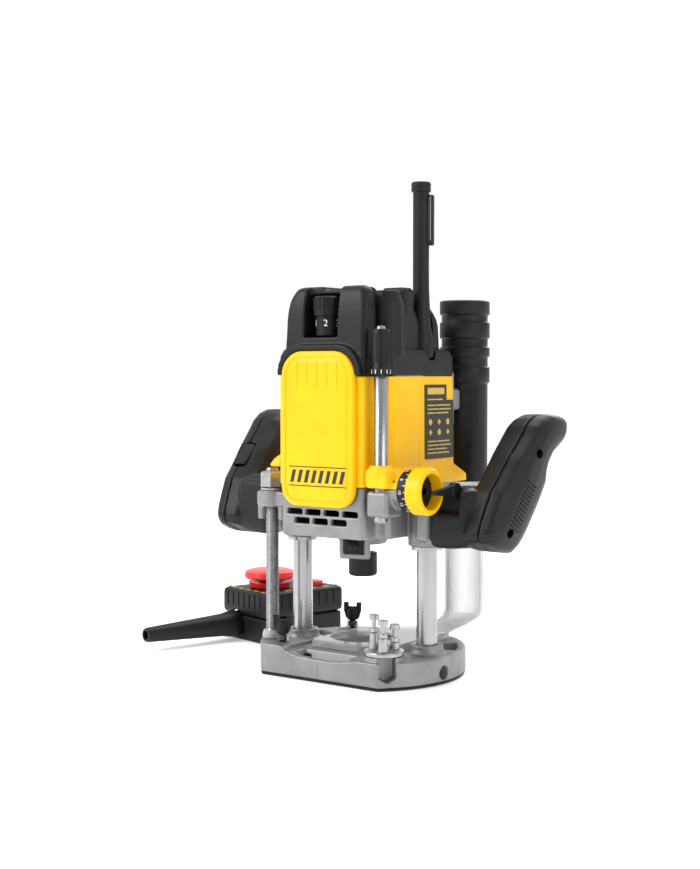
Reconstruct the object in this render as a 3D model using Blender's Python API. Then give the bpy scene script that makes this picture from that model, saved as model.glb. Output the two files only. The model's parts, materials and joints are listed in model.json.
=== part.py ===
"""Plunge router with a turret depth stop, dust tower and a floor-standing stop-switch box.

Sizes are millimetres in a design frame whose origin is on the floor under the collet.
X runs to the right handle, Y to the back, Z up.  MM turns them into metres.
"""
import bpy
import bmesh
from math import cos, sin, tan, pi, radians
from mathutils import Matrix, Vector

MM = 0.001
GAP = 0.3                      # clearance between touching pieces

# where the design origin sits, so that the world origin is the bottom centre of the whole object
SHIFT_X, SHIFT_Y = 29.7, -36.2

# base
BASE_R = 81.0
BASE_FLAT_Y = -59.5
SOLE_H = 2.0
BASE_FLOOR_Z, TROUGH_Z, BASE_RIM_Z, BASE_CORNER_Z = 11.0, 12.5, 20.5, 24.3
FRONT_EDGE = [
    (-40, 24.4), (-36, 23.8), (-31, 21.7), (-26, 19.4), (-20, 18.1), (-8, 17.4), (8, 17.2), (20, 17.8),
              (30, 19.2), (38, 20.9)]          # top of the front wall, left to right
OPENING_R = 33.0
COLUMN_X, COLUMN_R = 60.0, 8.0
COLUMN_BORE_R = 4.9
COLUMN_TOP_Z = 147.0
ROD_X, ROD_Y, ROD_R, ROD_TOP_Z = -63.0, -35.5, 5.3, 159.6
KNOB_FRONT = (-46.0, -44.0)
KNOB_REAR = (-39.0, 40.0)
TURRET_X, TURRET_Y, TURRET_Z = 48.5, -41.0, 24.3
STOP_CIRCLE_R = 9.0

# carriage and motor
CARRIAGE_LOW_Z, CARRIAGE_TOP_Z = 110.0, 149.2
BOSS_LOW_Z = 103.0
HOUSING_TOP_Z = 232.0
CAP_TOP_Z = 300.0
COVER_LOW_Z, COVER_HIGH_Z, COVER_HALF_W, COVER_CORNERS = 133.5, 251.0, 34.0, (15, 15, 19, 19)
WHEEL_X, WHEEL_Y = -2.0, -42.8
SIDE_X, REAR_Y, SHOULDER_Y, NOSE_X, NOSE_Y = 51.4, 53.0, -38.0, 40.5, -55.8
STROKE = 55.0
VENT_W, VENT_H, VENT_PITCH = 14.6, 4.6, 17.4
PIN_Z, PIN_R = 113.6, 2.3       # cross pins that carry the tops of the plunge springs

# depth stop, lever and dial
STOP_ROD_X, STOP_ROD_Y, STOP_ROD_R = 52.5, -51.0, 5.2
DIAL_X, DIAL_Y, DIAL_Z = 83.0, -40.8, 148.0
DIAL_R, HUB_R = 17.5, 13.6

# handles: slices along a line that leans back from the floor's normal
HANDLE_X, HANDLE_HALF_T = 122.3, 16.5
HANDLE_LEAN = radians(27.0)
HANDLE_SPLAY, HANDLE_UPRIGHT = 0.095, 0.150   # outward and forward drift per mm of height
HANDLE_MID_Z = 132.5
HANDLE_INNER = 1.4                  # how much deeper the inner half is
HANDLE_SLICES = [                       # along the lean, front edge, back edge, share of the thickness
    (86.5, -76.0, -57.0, 0.62), (92, -80, -40, 0.86), (101, -80, -34, 0.97), (113, -79, -29.5, 1.0),
    (127, -77.5, -25.5, 1.0), (140, -72.5, -22.5, 1.0), (150, -69, -21, 1.0), (158, -66.5, -20, 1.0),
    (166, -63, -24, 1.0), (174, -59.5, -24.5, 1.0), (183, -56, -22, 1.0), (192, -53.5, -15, 1.0),
    (200, -49, -9, 0.97), (207, -42, -7, 0.88), (213, -30, -6.5, 0.7), (217, -18, -8, 0.45)]

# chute, tower and mast
TOWER_X, TOWER_Y, TOWER_R, TOWER_BORE_R = 41.0, 85.0, 18.8, 17.2
CHUTE_R = 16.2
MAST_X, MAST_Y, MAST_R = 41.0, 20.0, 6.4

# stop-switch box on the floor behind the left handle
BOX_CORNER = (-127.0, 34.0)
BOX_TURN = radians(-14.2)
BOX_W, BOX_L, BOX_H = 64.0, 86.0, 44.0

COLOURS = {
    "yellow_plastic": ((0.93, 0.66, 0.0), 0.45, 0.0), "black_plastic": ((0.02, 0.02, 0.02), 0.5, 0.0),
    "cast_alloy": ((0.33, 0.33, 0.35), 0.45, 0.9), "steel": ((0.6, 0.6, 0.6), 0.25, 1.0),
    "red_plastic": ((0.75, 0.02, 0.02), 0.4, 0.0), "clear_plastic": ((0.8, 0.83, 0.85), 0.1, 0.0),
    "white_plastic": ((0.75, 0.75, 0.75), 0.5, 0.0), "zinc": ((0.5, 0.5, 0.52), 0.35, 1.0),
    "copper": ((0.7, 0.3, 0.15), 0.4, 1.0),
    "spring_steel": ((0.3, 0.3, 0.32), 0.35, 1.0), "circuit_board": ((0.03, 0.2, 0.08), 0.5, 0.0),
    "carbon": ((0.03, 0.03, 0.03), 0.8, 0.0)}


# ---------------------------------------------------------------- tools
def clear_scene():
    for thing in list(bpy.data.objects):
        bpy.data.objects.remove(thing, do_unlink=True)


def material(name):
    found = bpy.data.materials.get(name)
    if found:
        return found
    colour, roughness, metallic = COLOURS[name]
    made = bpy.data.materials.new(name)
    made.use_nodes = True
    shader = made.node_tree.nodes["Principled BSDF"]
    shader.inputs["Base Color"].default_value = (*colour, 1.0)
    shader.inputs["Roughness"].default_value = roughness
    shader.inputs["Metallic"].default_value = metallic
    return made


def add_object(name, bm, finish, origin, turn=0.0):
    """Make an object from a bmesh drawn about the origin, in millimetres."""
    bmesh.ops.recalc_face_normals(bm, faces=bm.faces)
    bmesh.ops.scale(bm, vec=(MM, MM, MM), verts=bm.verts)
    mesh = bpy.data.meshes.new(name)
    bm.to_mesh(mesh)
    bm.free()
    if finish:
        mesh.materials.append(material(finish))
        mesh.shade_smooth()
        mesh.set_sharp_from_angle(angle=radians(35))
    thing = bpy.data.objects.new(name, mesh)
    thing.location = Vector(origin) * MM
    thing.rotation_euler = (0, 0, turn)
    thing.parent = FRAME
    bpy.context.scene.collection.objects.link(thing)
    return thing


def node(name, bm, finish, origin=(0, 0, 0), turn=0.0):
    return add_object(name, bm, finish, origin, turn)


def apply_tool(target, bm, operation, origin, turn):
    count = len(target.modifiers)
    tool = add_object("%s.tool.%02d" % (target.name, count), bm, None, origin, turn)
    tool.hide_render = True
    tool.display_type = "WIRE"
    step = target.modifiers.new("%s %d" % (operation.lower(), count), "BOOLEAN")
    step.operation = operation
    step.solver = "EXACT"
    step.object = tool


def cut(target, bm, origin=(0, 0, 0), turn=0.0):
    apply_tool(target, bm, "DIFFERENCE", origin, turn)


def fuse(target, bm, origin=(0, 0, 0), turn=0.0):
    apply_tool(target, bm, "UNION", origin, turn)


def weld_seams():
    """Close the hairline seams that a row of cuts leaves behind."""
    for thing in bpy.data.objects:
        if thing.modifiers:
            step = thing.modifiers.new("weld", "WELD")
            step.merge_threshold = 0.00001


def bevel_edges(bm, width, segments, keep=None):
    edges = [e for e in bm.edges if keep is None or keep(e)]
    bmesh.ops.bevel(bm, geom=edges, offset=width, segments=segments, profile=0.5, affect="EDGES",
                    clamp_overlap=True)


def upright(edge):
    a, b = (v.co for v in edge.verts)
    return abs(a.x - b.x) < 1e-6 and abs(a.y - b.y) < 1e-6


def skin(rings):
    """Closed solid through a list of rings that all have the same number of points."""
    bm = bmesh.new()
    loops = [[bm.verts.new(p) for p in ring] for ring in rings]
    count = len(loops[0])
    for low, high in zip(loops, loops[1:]):
        for i in range(count):
            j = (i + 1) % count
            bm.faces.new((low[i], low[j], high[j], high[i]))
    bm.faces.new(list(reversed(loops[0])))
    bm.faces.new(loops[-1])
    return bm


def prism(outline, z0, z1, bevel=0.0, segments=2):
    bm = skin([[(x, y, z) for x, y in outline] for z in (z0, z1)])
    if bevel:
        bevel_edges(bm, bevel, segments)
    return bm


def block(x0, x1, y0, y1, z0, z1, bevel=0.0, segments=2, keep=None):
    bm = skin([[(x0, y0, z), (x1, y0, z), (x1, y1, z), (x0, y1, z)] for z in (z0, z1)])
    if bevel:
        bevel_edges(bm, bevel, segments, keep)
    return bm


def tapered(levels):
    """Box through (x0, x1, y0, y1, z) levels."""
    return skin([[(x0, y0, z), (x1, y0, z), (x1, y1, z), (x0, y1, z)] for x0, x1, y0, y1, z in levels])


def rod(radius, z0, z1, sides=24):
    return skin([[(radius * cos(a), radius * sin(a), z) for a in ring_angles(sides)] for z in (z0, z1)])


def ring_angles(sides, start=0.0):
    return [start + 2 * pi * i / sides for i in range(sides)]


def turned(profile, sides=24):
    """Solid turned about Z from (radius, height) points, low to high."""
    return skin([[(r * cos(a), r * sin(a), z) for a in ring_angles(sides)] for r, z in profile])


def turned_ring(profile, sides=24):
    """Hollow piece turned about Z from a closed (radius, height) outline."""
    bm = bmesh.new()
    loops = [[bm.verts.new((r * cos(a), r * sin(a), z)) for r, z in profile] for a in ring_angles(sides)]
    for k, loop in enumerate(loops):
        after = loops[(k + 1) % sides]
        for i in range(len(profile)):
            j = (i + 1) % len(profile)
            bm.faces.new((loop[i], after[i], after[j], loop[j]))
    return bm


def tube(outer, inner, z0, z1, sides=24):
    return turned_ring([(inner, z0), (outer, z0), (outer, z1), (inner, z1)], sides)


def along(bm, axis):
    """Turn a piece drawn along Z so that it runs along +X or +Y."""
    turn = Matrix.Rotation(pi / 2, 3, "Y") if axis == "X" else Matrix.Rotation(-pi / 2, 3, "X")
    bmesh.ops.rotate(bm, matrix=turn, verts=bm.verts)
    return bm


def coil(radius, wire, z0, z1, turns, per_turn=8, sides=4):
    """Round-wire coil spring with its axis on Z."""
    rings = []
    steps = turns * per_turn
    for k in range(steps + 1):
        a = 2 * pi * k / per_turn
        z = z0 + wire + (z1 - z0 - 2 * wire) * k / steps
        out = Vector((cos(a), sin(a), 0))
        rings.append([out * (radius + wire * cos(b)) + Vector((0, 0, z + wire * sin(b)))
                      for b in ring_angles(sides)])
    return skin(rings)


def gear_outline(root, tip, teeth):
    points = []
    for i in range(teeth * 2):
        r = tip if i % 2 == 0 else root
        a = pi * i / teeth
        points.append((r * cos(a), r * sin(a)))
    return points


# ---------------------------------------------------------------- outlines
def base_outline(inset=0.0, arc_points=32):
    """Circle with a straight front."""
    r, flat = BASE_R - inset, BASE_FLAT_Y + inset
    half = (r * r - flat * flat) ** 0.5
    start = Vector((half, flat)).angle_signed(Vector((1, 0)))
    sweep = 2 * pi - 2 * (pi / 2 - abs(start))
    points = []
    for i in range(arc_points + 1):
        a = start + sweep * i / arc_points
        points.append((r * cos(a), r * sin(a)))
    return points


def rounded(outline, radius, steps=3):
    """The outline with every corner turned into an arc; radius is one value or one for each corner."""
    points = []
    count = len(outline)
    radii = radius if isinstance(radius, (list, tuple)) else [radius] * count
    for i, (corner, radius) in enumerate(zip(outline, radii)):
        here = Vector(corner)
        back = (Vector(outline[i - 1]) - here).normalized()
        ahead = (Vector(outline[(i + 1) % count]) - here).normalized()
        half = back.angle(ahead) / 2
        reach = radius / tan(half)
        centre = here + (back + ahead).normalized() * (radius / sin(half))
        first, last = here + back * reach - centre, here + ahead * reach - centre
        swing = last.angle_signed(first)
        for k in range(steps + 1):
            a = swing * k / steps
            points.append((centre.x + first.x * cos(a) - first.y * sin(a),
                           centre.y + first.x * sin(a) + first.y * cos(a)))
    return points


def motor_ring(inset, z, corner=6.0, flare=0.0):
    """Outline of the motor casing at one height; flare pushes the sides and the back outward."""
    x, y, s = SIDE_X - inset + flare, REAR_Y - inset + flare, SHOULDER_Y + inset
    nx, ny = NOSE_X - inset, NOSE_Y + inset
    outline = [(-nx, ny), (nx, ny), (nx, s), (x, s), (x, y), (-x, y), (-x, s), (-nx, s)]
    return [(px, py, z) for px, py in rounded(outline, corner)]


def motor_block(inset, z0, z1, corner=4.0):
    return skin([motor_ring(inset, z, corner) for z in (z0, z1)])


def sector(inner, outer, start_deg, end_deg, z0, z1, steps=3):
    """Wedge of a ring, used to sink a pocket between two ribs."""
    a0, a1 = radians(start_deg), radians(end_deg)
    sweep = [a0 + (a1 - a0) * i / steps for i in range(steps + 1)]
    outline = [(outer * cos(a), outer * sin(a)) for a in sweep]
    outline += [(inner * cos(a), inner * sin(a)) for a in reversed(sweep)]
    return prism(outline, z0, z1)


# ---------------------------------------------------------------- base
def make_base():
    sole = node("base_sole", prism(base_outline(0.6), 0.0, SOLE_H), "black_plastic")
    cut(sole, rod(OPENING_R + 0.6, -1, SOLE_H + 1, 32))

    casting = node("base_casting", prism(base_outline(), SOLE_H + GAP, BASE_CORNER_Z), "cast_alloy")
    cut(casting, block(-32, 90, -90, 90, BASE_RIM_Z, 40))
    cut(casting, block(-90, -30, -24, 90, BASE_RIM_Z, 40))
    for start, end in ((17, 44), (78, 112), (152, 166)):
        cut(casting, sector(OPENING_R + 5, BASE_R - 6, start, end, BASE_FLOOR_Z, BASE_RIM_Z + 9))
    trough = tapered([(-22, 21, -52, -43, TROUGH_Z), (-30, 29, -54.6, -37.5, BASE_RIM_Z + 9)])
    cut(casting, trough)
    scoop = skin([[(x, y, z) for x, z in FRONT_EDGE] + [(40, y, 40), (-40, y, 40)] for y in (-70, -52)])
    cut(casting, scoop)
    for side in (-1, 1):
        collar = turned([(17, 12), (15.2, 18.5), (13.0, 23.4), (12.6, 24.6), (12.6, 27.5)])
        fuse(casting, collar, (side * COLUMN_X, 0, 0))
    fuse(casting, rod(16.5, 12, TURRET_Z - GAP), (TURRET_X, TURRET_Y, 0))
    fuse(casting, block(-50, -30, 32, 49, 12, 24, 2, 1), (0, 0, 0))
    cut(casting, rod(OPENING_R, 0, 40, 32))
    for side in (-1, 1):
        cut(casting, rod(COLUMN_R + GAP, 5, 40), (side * COLUMN_X, 0, 0))
        cut(casting, along(rod(4.2, -90, -20, 20), "X"), (0, side * 42.5, 12.5))
    cut(casting, rod(ROD_R + GAP, 8, 40, 24), (ROD_X, ROD_Y, 0))
    for x, y in (KNOB_FRONT, KNOB_REAR):
        cut(casting, rod(2.8, 17.5, 40, 16), (x, y, 0))
    cut(casting, rod(3.3, 12, 40, 16), (TURRET_X, TURRET_Y, 0))
    cut(casting, along(rod(5.3, 70, 90, 20), "X"), (0, -7, 8.6))
    pocket = skin([[(r, -6.5, 26), (r, -6.5, 9), (r, 0, 5.4), (r, 6.5, 9), (r, 6.5, 26)] for r in (69.5, 90)])
    cut(casting, pocket, (0, 0, 0), radians(-41.5))

    node("rod_seat", turned_ring([(ROD_R + GAP, 24.6), (8, 24.6), (8, 28), (6.8, 31), (ROD_R + GAP, 31)], 24),
         "white_plastic", (ROD_X, ROD_Y, 0))
    node("height_rod", turned([(ROD_R, 8.4), (ROD_R, ROD_TOP_Z - 1), (ROD_R - 1, ROD_TOP_Z)], 24), "zinc",
         (ROD_X, ROD_Y, 0))

def make_columns():
    for side, word in ((-1, "left"), (1, "right")):
        x = side * COLUMN_X
        column = node("column_" + word, turned_ring(
            [(COLUMN_BORE_R, 5.4), (COLUMN_R, 5.4), (COLUMN_R, COLUMN_TOP_Z - 1),
             (COLUMN_R - 1, COLUMN_TOP_Z), (COLUMN_BORE_R, COLUMN_TOP_Z)]), "steel", (x, 0, 0))
        fuse(column, rod(COLUMN_R - 1.5, 6, 12, 16), (x, 0, 0))
        slot_low, slot_high = PIN_Z - STROKE - PIN_R - 1.0, PIN_Z + PIN_R + 0.6
        cut(column, block(-2.9, 2.9, 0, 10, slot_low, slot_high), (x, 0, 0))
        node("plunge_spring_" + word, coil(3.6, 0.8, 12.4, PIN_Z - PIN_R - GAP, 8), "spring_steel", (x, 0, 0))
        node("spring_pin_" + word, along(rod(PIN_R, 0, 14.2, 16), "Y"), "steel", (x, 0, PIN_Z))


def make_clamp_knobs():
    for word, (x, y) in (("front", KNOB_FRONT), ("rear", KNOB_REAR)):
        node("clamp_spring_" + word, coil(4.2, 0.7, 24.5, 30.2, 3), "spring_steel", (x, y, 0))
        knob = node("clamp_knob_" + word, turned([(2.3, 18), (2.3, 30.6), (4.6, 30.6), (4.8, 37),
                                                  (3.8, 40)], 16),
                    "black_plastic", (x, y, 0))
        wing = skin([[(-w, -t, z), (w, -t, z), (w, t, z), (-w, t, z)]
                     for w, t, z in ((5.4, 1.7, 32), (7.2, 1.6, 38), (7.4, 1.4, 45))])
        fuse(knob, wing, (x, y, 0), radians(24))
        cut(knob, block(-3.4, 3.4, -6, 6, 41.5, 50), (x, y, 0), radians(24))


def stop_screw_places():
    for k, post_top in enumerate((38.0, 33.0, 40.0)):
        a = radians(-60 + 120 * k)
        yield TURRET_X + STOP_CIRCLE_R * cos(a), TURRET_Y + STOP_CIRCLE_R * sin(a), post_top


def make_turret():
    disc = node("turret_disc", turned([(15.5, TURRET_Z), (15.5, 27.0), (14.8, 27.8)], 28), "zinc",
                (TURRET_X, TURRET_Y, 0))
    for x, y, top in stop_screw_places():
        fuse(disc, turned([(4.1, 26), (3.6, top)], 12), (x, y, 0))
        cut(disc, rod(2.1, 30, 60, 8), (x, y, 0))
    cut(disc, rod(3.4, 20, 40, 16), (TURRET_X, TURRET_Y, 0))
    for word, (x, y, top) in zip(("middle", "low", "high"), stop_screw_places()):
        node("stop_screw_" + word, turned(
            [(1.8, 31), (1.8, top + 0.4), (3.5, top + 0.4), (3.5, top + 3.4), (1.8, top + 3.6),
             (1.8, top + 9.6), (3.7, top + 9.6), (3.7, top + 13.2), (3.2, top + 13.8)], 12),
                     "zinc", (x, y, 0))
    node("turret_pivot", turned([(3.0, 12.6), (3.0, 28.3), (4.4, 28.3), (4.4, 30.6), (3.8, 31.8)], 16),
         "zinc",
         (TURRET_X, TURRET_Y, 0))


HOOD = [(-27, -33), (20, -33), (27, -23), (43, -18), (43, 64), (4, 64), (-27, 30)]


def hood_outline(inset):
    """Plan of the clear hood, shrunk toward its middle."""
    middle = Vector((10, 14))
    points = []
    for corner in HOOD:
        away = Vector(corner) - middle
        points.append(tuple(middle + away * (1 - inset / away.length)))
    return rounded(points, 5.0 - inset, 2)


def chute_rings(r):
    rings = []
    for z, x, y, squeeze in ((22.4, 25.0, 45.0, 1.0), (26.5, 30.0, 56.0, 1.0), (31.5, 37.0, 74.0, 0.93),
                             (36.0, 40.2, 82.5, 0.98), (41.0, TOWER_X, TOWER_Y, 1.0), (160.0,
                                     TOWER_X, TOWER_Y, 1.0)):
        rings.append([(x + r * squeeze * cos(a), y + r * squeeze * sin(a), z) for a in ring_angles(20)])
    return rings


def make_dust_chute():
    """Clear tube beside the carriage, bent in to a flat hood over the base opening."""
    chute = node("dust_chute", skin(chute_rings(CHUTE_R)), "clear_plastic")
    hood_low, hood_high = BASE_RIM_Z + 0.7, 26.6
    fuse(chute, prism(hood_outline(0.0), hood_low, hood_high))
    inner = chute_rings(CHUTE_R - 2.0)
    inner.append([(x, y, z + 5) for x, y, z in inner[-1]])
    cut(chute, skin(inner))
    cut(chute, prism(hood_outline(2.2), hood_low - 3, hood_high - 1.9))
    cut(chute, rod(26.0, 10, 40, 28))


# ---------------------------------------------------------------- carriage
def hub_half(upper):
    """Half of the round hub behind the depth dial, split where the housing meets the carriage."""
    level = CARRIAGE_TOP_Z - DIAL_Z + (GAP if upper else 0)
    bm = along(rod(HUB_R, 50, DIAL_X - 14.0, 28), "X")
    bmesh.ops.bisect_plane(bm, geom=bm.verts[:] + bm.edges[:] + bm.faces[:], plane_co=(0, 0, level),
                           plane_no=(0, 0, -1 if upper else 1), clear_outer=True)
    bmesh.ops.holes_fill(bm, edges=[edge for edge in bm.edges if edge.is_boundary])
    return bm


def make_carriage():
    casting = node("carriage_casting", motor_block(1.2, CARRIAGE_LOW_Z, CARRIAGE_TOP_Z), "cast_alloy")
    cut(casting, motor_block(6.0, 117.5, 160, 3.0))
    fuse(casting, turned([(18.5, 101), (20, 106), (20, 119)]), (0, 0, 0))
    for side in (-1, 1):
        fuse(casting, rod(14.5, BOSS_LOW_Z, CARRIAGE_TOP_Z), (side * COLUMN_X, 0, 0))
        x0, x1 = sorted((side * 62.0, side * 75.7))
        fuse(casting, block(x0, x1, -22, 18, 107, 147, 3, 1), (0, 0, 0))
    fuse(casting, turned([(9.2, 129.4), (9.8, 130.4), (9.8, 142)], 24), (ROD_X, ROD_Y, 0))
    fuse(casting, block(ROD_X - 12, -44, ROD_Y - 5.5, ROD_Y + 5.5, 129.8, 141.2, 1, 1))
    for dx in (-10.2, 10.2):
        fuse(casting, turned([(3.2, 118.5), (3.9, 119.5), (3.9, 131)], 6), (ROD_X + dx, ROD_Y, 0))
    fuse(casting, block(43.5, 62.5, -58, -36.5, 128, 147.7, 2, 1))
    fuse(casting, hub_half(False), (0, DIAL_Y, DIAL_Z))
    cut(casting, rod(16.6, 95, 125), (0, 0, 0))
    for side in (-1, 1):
        cut(casting, rod(10.3, 95, 170), (side * COLUMN_X, 0, 0))
        cut(casting, along(rod(PIN_R + GAP, 0, 22, 16), "Y"), (side * COLUMN_X, 0, PIN_Z))
    cut(casting, rod(ROD_R + 0.5, 100, 170, 24), (ROD_X, ROD_Y, 0))
    cut(casting, rod(STOP_ROD_R + GAP, 120, 170, 20), (STOP_ROD_X, STOP_ROD_Y, 0))
    cut(casting, along(rod(4.9, 40, 59, 20), "X"), (0, DIAL_Y, DIAL_Z))
    cut(casting, along(rod(3.4, 50, 76, 20), "X"), (0, DIAL_Y, DIAL_Z))
    for count, left, low in ((4, -33.0, 126.4), (3, -26.0, 119.6)):
        for k in range(count):
            x0 = left + VENT_PITCH * k
            cut(casting, block(x0, x0 + VENT_W, -60, -45, low, low + VENT_H))

    for side, word in ((-1, "left"), (1, "right")):
        bush = turned_ring([(COLUMN_R + 0.06, 100), (12.2, 100), (12.2, BOSS_LOW_Z - GAP), (10.0,
                BOSS_LOW_Z - GAP),
                            (10.0, 146), (COLUMN_R + 0.06, 146)])
        made = node("column_bush_" + word, bush, "steel", (side * COLUMN_X, 0, 0))
        cut(made, along(rod(PIN_R + GAP, 6, 13, 16), "Y"), (side * COLUMN_X, 0, PIN_Z))

    node("height_washer", tube(9.2, ROD_R + 0.5, 142.3, 143.9, 24), "zinc", (ROD_X, ROD_Y, 0))
    nut = node("height_nut", turned([(8.9, 144.2), (9.8, 145.0), (9.8, 155.6), (8.6, 156.8)], 6), "zinc",
               (ROD_X, ROD_Y, 0))
    cut(nut, rod(ROD_R + 0.05, 140, 170, 24), (ROD_X, ROD_Y, 0))


def make_lock():
    """Spindle-lock bracket and its square button, turned toward the front right."""
    turn = radians(20)
    bracket = node("lock_bracket", block(-12, 12, -27, -21, 91, 109.6, 1.5, 2), "cast_alloy", (0, 0, 0), turn)
    fuse(bracket, block(-10, 10, -27, -21.5, 100, 109.7, 0, 1), (0, 0, 0), turn)
    cut(bracket, block(-8.3, 8.3, -30, -15, 95.0, 111.5 - 4.2), (0, 0, 0), turn)
    button = node("lock_button", block(-7.8, 7.8, -29, -24.4, 95.5, 106.8, 1.2, 1), "black_plastic",
                  (0, 0, 0), turn)
    fuse(button, along(turned([(5.4, 28), (5.0, 29.6), (3.4, 31.0), (1.4, 31.6)], 20), "Y"), (0, 0, 101.1),
         turn + pi)


def cover_outline(grow):
    low, high, half = COVER_LOW_Z - grow, COVER_HIGH_Z + grow, COVER_HALF_W + grow
    return [(-half, low), (half, low), (half, high), (-half, high)]


def stood_up(bm):
    """Turn a plate drawn in (X, Z) with its depth along Z so that it faces the front."""
    bmesh.ops.rotate(bm, matrix=Matrix.Rotation(pi / 2, 3, "X"), verts=bm.verts)
    return bm


def make_motor_shell():
    low = CARRIAGE_TOP_Z + GAP
    shell = node("motor_housing", skin([
        motor_ring(0, low, 4, 8), motor_ring(0, 155, 4, 8), motor_ring(0, 163, 4, 0.6),
        motor_ring(0, HOUSING_TOP_Z, 4)]), "yellow_plastic")
    cut(shell, motor_block(2.8, CARRIAGE_TOP_Z - 5, HOUSING_TOP_Z + 5, 3.0))
    fuse(shell, block(42.5, 63, -59.0, -36.8, CARRIAGE_TOP_Z + GAP, 164.4, 3, 2))
    fuse(shell, hub_half(True), (0, DIAL_Y, DIAL_Z))
    fuse(shell, tapered([(-63, -48, -45, -26, 161.5), (-62, -48, -45, -26, 163.8), (-56, -48, -43,
                                                                                    -26, 167.5),
                         (-50, -48, -40, -26, 171.5)]))
    fuse(shell, turned([(9.8, 158), (8.4, 166.6)], 20), (STOP_ROD_X, STOP_ROD_Y, 0))
    cut(shell, rod(STOP_ROD_R + GAP, 140, 180, 20), (STOP_ROD_X, STOP_ROD_Y, 0))
    cut(shell, along(rod(4.9, 40, 59, 20), "X"), (0, DIAL_Y, DIAL_Z))
    cut(shell, along(rod(3.4, 50, 76, 20), "X"), (0, DIAL_Y, DIAL_Z))
    for side in (-1, 1):
        cut(shell, rod(COLUMN_R + 0.5, 140, 300), (side * COLUMN_X, 0, 0))
    cut(shell, rod(10.6, 140, 300), (ROD_X, ROD_Y, 0))

    cover = prism(rounded(cover_outline(0.0), COVER_CORNERS, 5), 56.1, 60.8)
    bevel_edges(cover, 2.4, 2, lambda e: all(v.co.z > 60 for v in e.verts))
    made = node("front_cover", stood_up(cover), "yellow_plastic")
    for k in range(4):
        cut(made, block(-22.5 + 12 * k, -13.5 + 12 * k, -62, -59.9, 222, 243, 1.0, 1))


def make_motor_cap():
    cap = node("motor_cap", skin([motor_ring(0, HOUSING_TOP_Z + GAP, 4), motor_ring(0, 247, 4),
                                  motor_ring(2.5, 252.5, 3)]), "black_plastic")
    front = tapered([(-36, 41, -55.2, -12, 245), (-34.6, 40.5, -53.6, -12, 281), (-32.4, 39.5, -52,
                                                                                  -12.4, 292),
                     (-27, 36, -49, -16, CAP_TOP_Z)])
    bevel_edges(front, 4.0, 2, lambda e: not all(v.co.z < 246 for v in e.verts))
    fuse(cap, front)
    cut(cap, block(24, 60, -40, -8, 253.2, 310))
    rear = tapered([(-38.3, 46, -19, 43, 246.3), (-35.2, 45.5, -19, 41, 276), (-30.4, 39, -18.4, 35, 290)])
    bevel_edges(rear, 5.0, 2, lambda e: not all(v.co.z < 247 for v in e.verts))
    fuse(cap, rear)
    fuse(cap, turned([(14.4, 248), (13.8, 262), (13.6, 286), (9.8, 296.6)], 20), (37.6, -22.4, 0))
    fuse(cap, block(20, 43.6, -7, 9, 250.6, CAP_TOP_Z, 3, 1))
    surround = prism(rounded([(-39, 232.8), (39, 232.8), (39, 255.6), (-39, 255.6)], (1, 1, 21, 21), 5),
                     52, 59.3)
    fuse(cap, stood_up(surround))
    cut(cap, stood_up(prism(rounded(cover_outline(0.4), COVER_CORNERS, 5), 55.95, 62)))
    cut(cap, motor_block(3.0, 220, 244, 3.0))
    cut(cap, block(-30, 28.4, -27.5, 30, 220, 282, 3, 1))
    cut(cap, block(-17, 15, -70, -30.5, 261.5, 294))
    cut(cap, block(-17, 15, -70, -44.5, 280, 310))
    cut(cap, block(-5, 15, -46, -20, 297.6, 310))
    cut(cap, rod(MAST_R + 4.6, 244.6, 320, 24), (MAST_X, MAST_Y, 0))
    fuse(cap, rod(3.0, 256, 266, 12), (WHEEL_X, WHEEL_Y, 0))


def make_motor():
    node("stator_core", tube(44, 25.6, 168, 214, 28), "steel")
    node("armature", turned([(6.0, 94), (6.0, 163), (12, 164), (24.6, 168), (24.6, 214), (12, 218), (14, 222),
                             (14, 238), (5, 239), (5, 260)], 20), "copper")
    node("lower_bearing", tube(16.2, 6.2, 104, 117, 20), "steel")
    node("upper_bearing", tube(11, 5.2, 248, 256, 20), "steel")
    fan = node("cooling_fan", tube(37, 6.3, 152.5, 155, 28), "black_plastic")
    for k in range(9):
        fuse(fan, block(10, 36, -0.8, 0.8, 154, 161.5), (0, 0, 0), 2 * pi * k / 9)
    for side, word in ((-1, "left"), (1, "right")):
        x0, x1 = sorted((side * 14.4, side * 27.5))
        node("brush_" + word, block(x0, x1, -3.2, 3.2, 226, 235), "carbon")
    node("speed_module", block(-24, 24, -26, -12, 264.5, 267), "circuit_board")
    wheel = node("speed_wheel", turned([(9.6, 263), (9.6, 277.4), (11, 278), (11, 291.4), (10, 292.6)], 24),
                 "black_plastic", (WHEEL_X, WHEEL_Y, 0))
    cut(wheel, rod(3.3, 250, 268, 12), (WHEEL_X, WHEEL_Y, 0))
    nut = node("collet_nut", turned([(9.8, 75.4), (11.3, 77), (11.3, 93), (10.4, 93.7)], 24), "black_plastic")
    cut(nut, rod(6.35, 70, 100, 24))


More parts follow.
